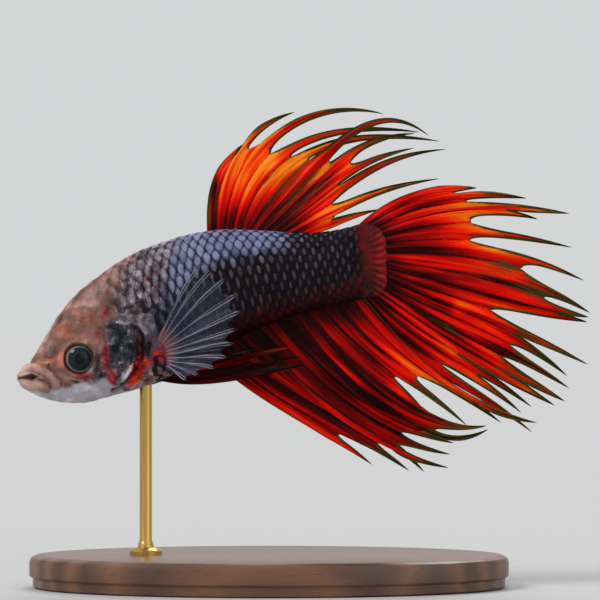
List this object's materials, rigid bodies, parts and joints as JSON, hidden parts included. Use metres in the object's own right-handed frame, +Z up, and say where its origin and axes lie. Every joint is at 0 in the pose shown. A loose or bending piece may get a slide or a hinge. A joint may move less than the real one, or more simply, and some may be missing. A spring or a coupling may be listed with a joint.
{
  "type": "crowntail betta fish on a display stand",
  "caption": "Still life-size male crowntail betta swimming nose-down, with long comb-edged red fins, held over an oval plinth by one thin rod.",
  "frame": {"origin": "middle of the flat underside of the stand's base", "axes": "-X towards the snout, +X towards the tail, -Y on the fish's left flank, +Z up out of the stand"},
  "size_m": [0.0692, 0.034, 0.0579],
  "materials": {
    "flesh_head": "moist satin",
    "flesh_body": "moist satin, scaled",
    "eye": "wet gloss",
    "fin_red": "thin moist membrane",
    "fin_clear": "clear moist membrane",
    "walnut": "satin varnish",
    "brass": "brushed"
  },
  "bodies": {
    "root": {"head": "flesh_head", "lower_jaw": "flesh_head", "gill_cover_left": "flesh_head", "gill_cover_right": "flesh_head", "eye_left": "eye", "eye_right": "eye", "trunk": "flesh_body", "tail_wrist": "flesh_body", "dorsal_fin": "fin_red", "tail_fin": "fin_red", "anal_fin": "fin_red", "pelvic_fin_left": "fin_red", "pelvic_fin_right": "fin_red", "pectoral_fin_left": "fin_clear", "pectoral_fin_right": "fin_clear", "stand_base": "walnut", "stand_rod": "brass"}
  },
  "joints": []
}
